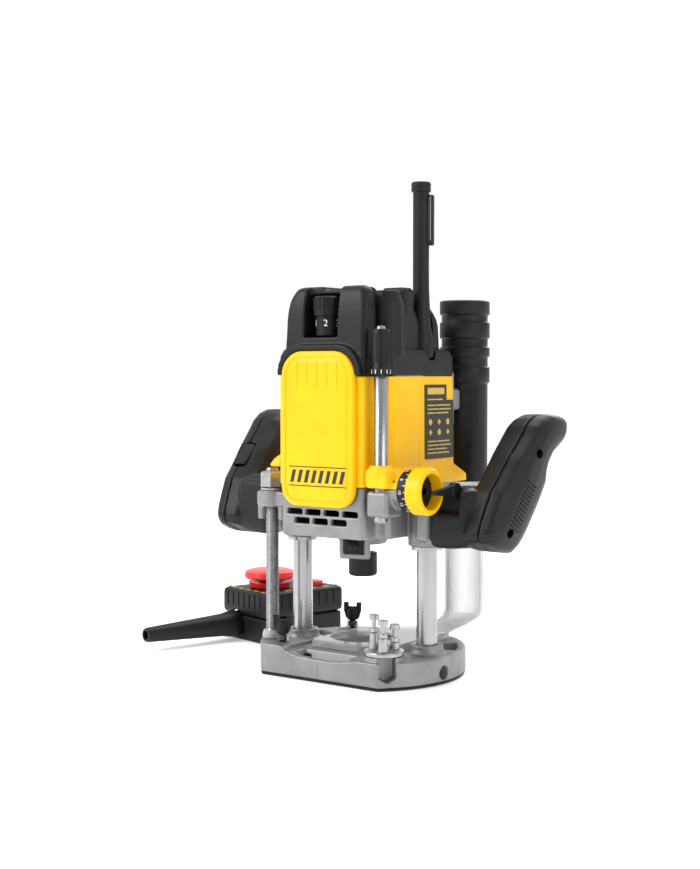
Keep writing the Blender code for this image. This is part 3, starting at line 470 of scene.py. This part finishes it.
# ---------------------------------------------------------------- whole-node finishes
MOULDED = [                                     # node, voxel size, smoothing passes
    ("motor_cap", 0.8, 3), ("handle_right_outer", 1.1, 10), ("handle_right_inner", 1.1, 8),
    ("handle_left_outer", 1.1, 10), ("handle_left_inner", 1.1, 8), ("carriage_casting", 0.8, 4),
    ("base_casting", 0.8, 4), ("motor_housing", 0.8, 4), ("box_cover", 0.9, 4), ("box_base", 0.9, 4),
    ("lock_bracket", 0.5, 3), ("tower_bracket", 0.7, 4), ("plunge_lock_lever", 0.4, 4),
    ("turret_disc", 0.4, 2), ("clamp_knob_front", 0.4, 3), ("clamp_knob_rear", 0.4, 3)]
CRISP = [                                       # node, width of its broken edges
    ("base_sole", 0.3), ("column_left", 0.0), ("column_right", 0.0), ("column_bush_left", 0.3),
    ("column_bush_right", 0.3), ("depth_rod", 0.0), ("height_washer", 0.2), ("height_nut", 0.4),
    ("rod_seat", 0.3), ("turret_pivot", 0.3), ("dust_tower", 0.4), ("collet_nut", 0.4),
    ("depth_dial", 0.5), ("scale_ring", 0.4), ("depth_grip", 0.3), ("lock_button", 0.4), ("mast", 0.3),
    ("stop_button", 0.5), ("stop_collar", 0.4), ("start_button", 0.4), ("strain_relief", 0.3),
    ("stop_screw_low", 0.2), ("stop_screw_middle", 0.2), ("stop_screw_high", 0.2), ("trigger", 0.4)]


def finish_nodes():
    """Every CAD node gets its material; the visible ones get softened or broken edges."""
    for name, thing in frame["nodes"].items():
        thing.data.materials.clear()
        thing.data.materials.append(FINISH[SLOTS[name]])
    for node, voxel, passes in MOULDED:
        moulded(node, voxel, passes)
    for node, edge in CRISP:
        crisp(node, edge)


# ---------------------------------------------------------------- moulded detail and markings
TREES = {}                                      # ray-casting trees of the nodes met so far


def landing(node, point, direction):
    """Where a straight line from a point first meets a CAD node, and the surface direction there."""
    thing = frame["nodes"][node]
    into = thing.matrix_world.inverted()
    start = into @ place(*point)
    way = (into.to_3x3() @ Vector(direction)).normalized()
    if node not in TREES:
        TREES[node] = BVHTree.FromPolygons([v.co for v in thing.data.vertices],
                                           [p.vertices[:] for p in thing.data.polygons])
    where, normal, _, _ = TREES[node].ray_cast(start, way)
    if where is None:
        raise ValueError(f"nothing of {node} lies that way from {point}")
    return (thing.matrix_world @ where - COLLET) / MM, (thing.matrix_world.to_3x3() @ normal).normalized()


def column_of(node):
    """x and y of a node's middle."""
    low, high = node_box(node)
    return (low.x + high.x) / 2, (low.y + high.y) / 2


def around(turn):
    """Level direction at an angle from +X."""
    return Vector((cos(turn), sin(turn), 0))


def strip(points, normals, width, height, sunk=0.3):
    """Narrow raised bead that follows a surface through the given points."""
    rings = []
    for i, (point, normal) in enumerate(zip(points, normals)):
        ahead = points[min(i + 1, len(points) - 1)] - points[max(i - 1, 0)]
        across = normal.cross(ahead).normalized() * width / 2
        rings.append([point - across - normal * sunk, point + across - normal * sunk,
                      point + across * 0.7 + normal * height, point - across * 0.7 + normal * height])
    return skin(rings)


def patch(corners, matrix, depth=PRINT_HALF_THICK):
    """Flat print: a polygon drawn in a local plane, with depth of ink above and below it."""
    return join(bmesh.new(), skin([[(x, y, z) for x, y in corners] for z in (-depth, depth)]), matrix)


def rect(x0, y0, x1, y1, slant=0.0):
    """Corners of a rectangle whose top is pushed sideways by slant."""
    return [(x0, y0), (x1, y0), (x1 + slant, y1), (x0 + slant, y1)]


SCREW_UP = (0, 0.2, 1)                          # never in line with a screw, so it settles the screw's turn


def socket_screw(name, where, normal, radius, height, body):
    """Cap screw of its own that rides on a body."""
    bm = join(bmesh.new(), screw_head(radius, height), facing(where, normal, SCREW_UP))
    add_piece(name, bm, FINISH["spring_steel"], body)


def threaded_rod():
    """Height rod with its rolled thread, standing for the plain CAD rod."""
    low, high = node_box("height_rod")
    x, y = column_of("height_rod")
    crest = (high.x - low.x) / 2
    root = crest - THREAD_DEPTH
    rows = int((high.z - THREAD_TOP_MARGIN - THREAD_LOW_Z) / (THREAD_PITCH / 2))
    bm = bmesh.new()
    grid = []
    for k in range(rows):
        r = crest if k % 2 else root
        grid.append([bm.verts.new((x + r * cos(a), y + r * sin(a),
                                   THREAD_LOW_Z + (k / 2 + j / ROD_SIDES) * THREAD_PITCH))
                     for j, a in enumerate(angles(ROD_SIDES))])
    for k in range(rows - 2):
        after = grid[k + 3][0] if k + 3 < rows else grid[k + 2][0]
        low_row, high_row = grid[k] + [grid[k + 2][0]], grid[k + 1] + [after]
        for j in range(ROD_SIDES):
            corners = (low_row[j], low_row[j + 1], high_row[j + 1], high_row[j])
            if len(set(corners)) == 4:
                bm.faces.new(corners)
    core = [(crest - 0.5, low.z), (crest, low.z + 0.5), (crest, THREAD_LOW_Z), (root, THREAD_LOW_Z + 0.8),
            (root, high.z - 4), (crest - 0.3, high.z - 2), (crest - 1, high.z)]
    join(bm, turned(core, ROD_SIDES, (x, y, 0)))
    piece = add_piece("height_rod_threaded", bm, FINISH["zinc_steel"], "root", 60)
    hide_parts("height_rod")


def panelled_cover():
    """Front cover with its sunk border line and the flutes under its top edge."""
    low, high = node_box("front_cover")
    middle, half_w = (low.x + high.x) / 2, (high.x - low.x) / 2
    rings = []
    for inset, behind in [(0, high.y - low.y)] + COVER_STEPS:
        outline = rounded_outline(half_w - inset, low.z + inset, high.z - inset,
                                  max(COVER_LOW_CORNER_R - inset, COVER_LEAST_R),
                                  max(COVER_HIGH_CORNER_R - inset, COVER_LEAST_R))
        rings.append([(middle + x, low.y + behind, z) for x, z in outline])
    bm = skin(rings)
    for k in range(FLUTES):
        x = middle + FLUTE_PITCH * (k - FLUTES // 2)
        flute = [Vector((x, low.y, high.z - FLUTE_DROP + FLUTE_RUN * j / 8)) for j in range(9)]
        join(bm, strip(flute, [Vector((0, -1, 0))] * 9, FLUTE_W, FLUTE_H))
    piece = add_piece("front_cover_panel", bm, FINISH["yellow_plastic"], "carriage", 50)
    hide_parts("front_cover")
    cover_badge(facing((middle + 1, low.y, BADGE_Z), (0, -1, 0)))


def cover_badge(face):
    """Plain badge: slanted bars between two lines."""
    badge = bmesh.new()
    for z in BADGE_LINES:
        join(badge, patch(rect(-BADGE_HALF_W, z, BADGE_HALF_W, z + BADGE_LINE_H), face))
    for k in range(BADGE_BARS):
        left = 1 - BADGE_HALF_W + BADGE_PITCH * k
        bar = rect(left, -BADGE_BAR_HALF_H, left + BADGE_BAR_W, BADGE_BAR_HALF_H, BADGE_SLANT)
        join(badge, patch(bar, face))
    add_piece("cover_badge", badge, DARK_INK, "carriage")


def side_label():
    """Rating plate on the right side: a stepped dark patch with plain bars in place of words."""
    where, normal = landing("motor_housing", (90, PLATE_Y, PLATE_LANDING_Z), (-1, 0, 0))
    face = facing((where.x + PLATE_THICK, PLATE_Y, PLATE_Z), normal)
    add_piece("rating_plate", patch(PLATE_OUTLINE, face, PLATE_THICK), DARK_INK, "carriage")
    marks = bmesh.new()
    face = facing((where.x + 2 * PLATE_THICK, PLATE_Y, PLATE_Z), normal)
    join(marks, patch(rect(*PLATE_TITLE), face))
    for row, (z, end) in enumerate(PLATE_ROWS):
        gap = -6 + 2.5 * (row % 3)
        join(marks, patch(rect(PLATE_LEFT, z, gap - 1, z + PLATE_ROW_H), face))
        join(marks, patch(rect(gap, z, end, z + PLATE_ROW_H), face))
    for k in range(3):
        x = SIGN_LEFT + SIGN_PITCH * k
        for row, z in enumerate(SIGN_ROWS):
            sides = 14 if (k + row) % 2 else 4
            join(marks, patch([(x + SIGN_R * cos(a), z + SIGN_R * sin(a)) for a in angles(sides)], face))
    add_piece("rating_plate_marks", marks, OCHRE_INK, "carriage")


def handle_details():
    """Near-black discs of painted shade on the screw holes, and the ribbed thumb pad on the outer half of
    each handle.
    """
    for side, word in ((1, "right"), (-1, "left")):
        node = f"handle_{word}_outer"
        for k, (y, z) in enumerate(HANDLE_SCREWS):
            where, normal = landing(node, (side * HANDLE_CLEAR_X, y, z), (-side, 0, 0))
            # each screw hole is a near-black disc laid on the handle's surface: painted shade, not a recess
            hole = join(bmesh.new(), turned(HANDLE_HOLE_SHADE_DISC, 28), facing(where, normal, SCREW_UP))
            add_piece(f"handle_{word}_hole_{k}", hole, HOLE_SHADE, body_of(node))
        ribs = bmesh.new()
        for k in RIB_NUMBERS:
            edge_y, edge_z = RIB_START_Y + RIB_PITCH_Y * k, RIB_START_Z + RIB_PITCH_Z * k
            landed = [landing(node, (side * HANDLE_CLEAR_X, edge_y - RIB_STEP_Y * j, edge_z + RIB_STEP_Z * j),
                              (-side, 0, 0)) for j in range(RIB_STEPS, -1, -1)]
            join(ribs, strip([where for where, _ in landed], [normal for _, normal in landed], RIB_W, RIB_H))
        add_piece(f"handle_{word}_ribs", ribs, RUBBER, body_of(node))


def tower_ladder():
    """Short raised rungs up the dust tower, under its top bands."""
    x, y = column_of("dust_tower")
    outs = [around(turn) for turn in RUNG_TURNS]
    rungs = bmesh.new()
    for k in range(RUNGS):
        middle = Vector((x, y, RUNG_LOW_Z + RUNG_PITCH * k))
        points = [landing("dust_tower", middle + out * TOWER_CLEAR_R, -out)[0] for out in outs]
        join(rungs, strip(points, outs, RUNG_W, RUNG_H))
    add_piece("dust_tower_rungs", rungs, FINISH["black_plastic"], body_of("dust_tower"))


def dial_marks():
    """Ticks and numbers on the depth scale, the index beside it and the dial's dark hub."""
    low, high = node_box("scale_ring")
    centre = (low + high) / 2
    radius = (high.z - low.z) / 2
    marks = bmesh.new()
    for k, a in enumerate(angles(SCALE_TICKS)):
        out = Vector((0, cos(a), sin(a)))
        face = facing(centre + out * radius, out, (1, 0, 0))
        length = TICK_LONG if k % 2 else TICK_SHORT
        join(marks, patch(rect(-0.25, TICK_END - length, 0.25, TICK_END), face))
        if k % 2 == 0:
            join(marks, lettering(str(k), SCALE_DIGIT_H), face @ Matrix.Translation((0, -1.0, 0.02)))
    add_piece("scale_ring_marks", marks, WHITE_INK, body_of("scale_ring"))
    out = Vector((0, cos(INDEX_TURN), sin(INDEX_TURN)))
    face = facing(Vector((INDEX_X, centre.y, centre.z)) + out * INDEX_R, out, (1, 0, 0))
    add_piece("depth_index", patch(rect(-0.6, -2.4, 0.6, 2.4), face), DARK_INK, "carriage")
    rim = node_box("depth_dial")[1].x
    back = facing((rim - DIAL_HUB_BACK, centre.y, centre.z), (1, 0, 0))
    hub = join(bmesh.new(), turned(DIAL_HUB, 40), back)
    add_piece("dial_hub", hub, FINISH["black_plastic"], body_of("depth_dial"))


def grip_marks():
    """White ticks round the flare of the depth rod's grip and the lugs above them."""
    x, y = column_of("depth_grip")
    ticks, lugs = bmesh.new(), bmesh.new()
    for a in angles(GRIP_MARKS, GRIP_FIRST_TURN):
        out = around(a)
        face = facing(Vector((x, y, GRIP_TICK_Z)) + out * GRIP_FLARE_R, out)
        join(ticks, patch(rect(-0.3, -1.5, 0.3, 1.5), face))
        lug = [Vector((x, y, GRIP_LUG_Z + GRIP_LUG_STEP * j)) + out * GRIP_LUG_R for j in range(5)]
        join(lugs, strip(lug, [out] * 5, 1.6, 0.5))
    add_piece("grip_ticks", ticks, WHITE_INK, body_of("depth_grip"))
    add_piece("grip_lugs", lugs, FINISH["black_plastic"], body_of("depth_grip"))


def wheel_marks():
    """Numbers round the speed wheel and the knurl above them."""
    x, y = column_of("speed_wheel")
    top = node_box("speed_wheel")[1].z

    def on_wheel(z, out):
        return landing("speed_wheel", Vector((x, y, z)) + out * WHEEL_CLEAR_R, -out)[0]

    digits, knurl = bmesh.new(), bmesh.new()
    for k, a in enumerate(angles(WHEEL_NUMBERS, WHEEL_FIRST_TURN)):
        out = around(a)
        face = facing(on_wheel(WHEEL_DIGIT_Z, out) + out * 0.05, out)
        join(digits, lettering(str(k + 1), WHEEL_DIGIT_H), face)
    add_piece("speed_numbers", digits, WHITE_INK, body_of("speed_wheel"))
    for a in angles(WHEEL_KNURLS):
        out = around(a)
        points = [on_wheel(top - drop, out) for drop in WHEEL_KNURL_DROPS]
        join(knurl, strip(points, [out] * len(points), 1.2, 0.5))
    add_piece("speed_knurl", knurl, FINISH["black_plastic"], body_of("speed_wheel"))


def parting_line():
    """Fine parting line down the front of the base casting."""
    landed = [landing("base_casting", (0, -120, z), (0, 1, 0)) for z in PARTING_Z]
    line = strip([where for where, _ in landed], [normal for _, normal in landed], 0.7, 0.25, 0.1)
    add_piece("base_parting_line", line, FINISH["cast_alloy"], "root")


def base_screw():
    """Socket screw down the round hole in the right side of the base."""
    where, _ = landing("base_casting", (150, SIDE_HOLE_Y, SIDE_HOLE_Z), (-1, 0, 0))
    head = Vector((where.x - SIDE_SCREW_SUNK, SIDE_HOLE_Y, SIDE_HOLE_Z))
    socket_screw("base_side_screw", head, (1, 0, 0), SIDE_SCREW_R, SIDE_SCREW_H, "root")


def box_details():
    """Ribs, corner screws and plain prints on the stop-switch box."""
    turn = Matrix.Rotation(BOX_TURN, 3, "Z")
    across, along, up = turn @ Vector((1, 0, 0)), turn @ Vector((0, 1, 0)), Vector((0, 0, 1))

    def on_box(x, y, z):
        return BOX_CORNER + turn @ Vector((x, y, z))

    def rib(x, y, out):
        foot = on_box(x, y, BOX_RIB_Z)
        return strip([foot, foot + up * BOX_RIB_RUN], [out, out], BOX_RIB_W, BOX_RIB_H)

    def add_print(x, y, half_x, half_y):
        face = facing(on_box(x, y, BOX_TOP), up, along)
        join(prints, patch(rect(-half_x, -half_y, half_x, half_y), face, BOX_PRINT_THICK))

    ribs, prints = bmesh.new(), bmesh.new()
    for k in range(BOX_SIDE_RIBS):
        join(ribs, rib(BOX_RIB_OUT, BOX_SIDE_START + BOX_SIDE_PITCH * k, across))
    for k in range(BOX_END_RIBS):
        join(ribs, rib(BOX_END_START - BOX_END_PITCH * k, -BOX_RIB_OUT, -along))
    for k in range(BOX_PRINTS):
        add_print(-10 - 11.0 * k, BOX_PRINT_IN, BOX_PRINT_LONG, BOX_PRINT_SHORT)
        add_print(-BOX_PRINT_IN, 14 + 14 * k, BOX_PRINT_SHORT, BOX_PRINT_LONG)
    add_piece("box_ribs", ribs, FINISH["black_plastic"], body_of("box_cover"))
    add_piece("box_prints", prints, OCHRE_INK, body_of("box_cover"))
    across_places, along_places = (-BOX_SCREW_IN, BOX_SCREW_IN - BOX_W), (BOX_SCREW_IN, BOX_L - BOX_SCREW_IN)
    for k, (y, x) in enumerate(product(along_places, across_places)):
        socket_screw(f"box_screw_{k}", on_box(x, y, BOX_TOP - 0.2), up, BOX_SCREW_R, BOX_SCREW_H,
                     body_of("box_cover"))


# ---------------------------------------------------------------- studio
def add_floor():
    """Wide pale floor, a hair under the machine."""
    outline = rect(-FLOOR_REACH, -FLOOR_REACH, FLOOR_REACH, FLOOR_REACH)
    bm = bmesh.new()
    bm.faces.new([bm.verts.new((x, y, 0)) for x, y in outline])
    mesh = bpy.data.meshes.new("floor")
    bm.to_mesh(mesh)
    bm.free()
    floor = bpy.data.objects.new("floor", mesh)
    floor.location.z = -FLOOR_DROP
    mesh.materials.append(surface("pale_floor", (0.93, 0.93, 0.93), (0.96, 0.96, 0.96), (0.6, 0.7),
                                  patch_mm=400, grain_mm=3.0, grain_depth_mm=0.01, Specular_IOR_Level=0.1,
                                  Emission_Color=(1, 1, 1, 1), Emission_Strength=0.30))
    SCENE.collection.objects.link(floor)


def add_light(name, location, target, size, power):
    """Rectangular lamp that looks at the target."""
    data = bpy.data.lights.new(name, "AREA")
    data.shape = "RECTANGLE"
    data.size, data.size_y = size
    data.energy = power
    light = bpy.data.objects.new(name, data)
    light.location = location
    light.rotation_euler = (Vector(target) - Vector(location)).to_track_quat("-Z", "Y").to_euler()
    SCENE.collection.objects.link(light)


def add_studio():
    """White surroundings, darker on the camera's side so that metal has something to mirror."""
    world = bpy.data.worlds.new("studio")
    world.use_nodes = True
    SCENE.world = world
    nodes, links = world.node_tree.nodes, world.node_tree.links
    coords = nodes.new("ShaderNodeTexCoord")
    turn = nodes.new("ShaderNodeMapping")
    turn.inputs["Rotation"].default_value = (0, 0, -CAMERA_AZIMUTH)
    parts = nodes.new("ShaderNodeSeparateXYZ")
    ramp = nodes.new("ShaderNodeMapRange")
    ramp.inputs["From Min"].default_value = -0.9
    ramp.inputs["From Max"].default_value = 0.6
    ramp.inputs["To Min"].default_value = SKY_NEAR
    ramp.inputs["To Max"].default_value = SKY_FAR
    links.new(coords.outputs["Generated"], turn.inputs["Vector"])
    links.new(turn.outputs["Vector"], parts.inputs["Vector"])
    links.new(parts.outputs["Y"], ramp.inputs["Value"])
    links.new(ramp.outputs["Result"], nodes["Background"].inputs["Color"])
    nodes["Background"].inputs["Strength"].default_value = 1.0
    for name, point, size, power in LIGHTS:
        add_light(name, place(*point), place(*LIT_POINT), size, power)


def add_camera():
    """Camera in front and to the right, a little over half way up the machine."""
    camera = bpy.data.objects.new("camera", bpy.data.cameras.new("camera"))
    camera.data.lens = LENS_MM
    camera.data.sensor_width = SENSOR_MM
    camera.location = place(CAMERA_DISTANCE * sin(CAMERA_AZIMUTH), -CAMERA_DISTANCE * cos(CAMERA_AZIMUTH),
                            CAMERA_HEIGHT)
    camera.rotation_euler = (CAMERA_TILT, 0, CAMERA_PAN)
    SCENE.collection.objects.link(camera)
    SCENE.camera = camera


finish_nodes()
threaded_rod()
panelled_cover()
side_label()
handle_details()
tower_ladder()
dial_marks()
grip_marks()
wheel_marks()
base_screw()
parting_line()
box_details()
add_floor()
add_studio()
add_camera()
SCENE.view_settings.view_transform = "Standard"
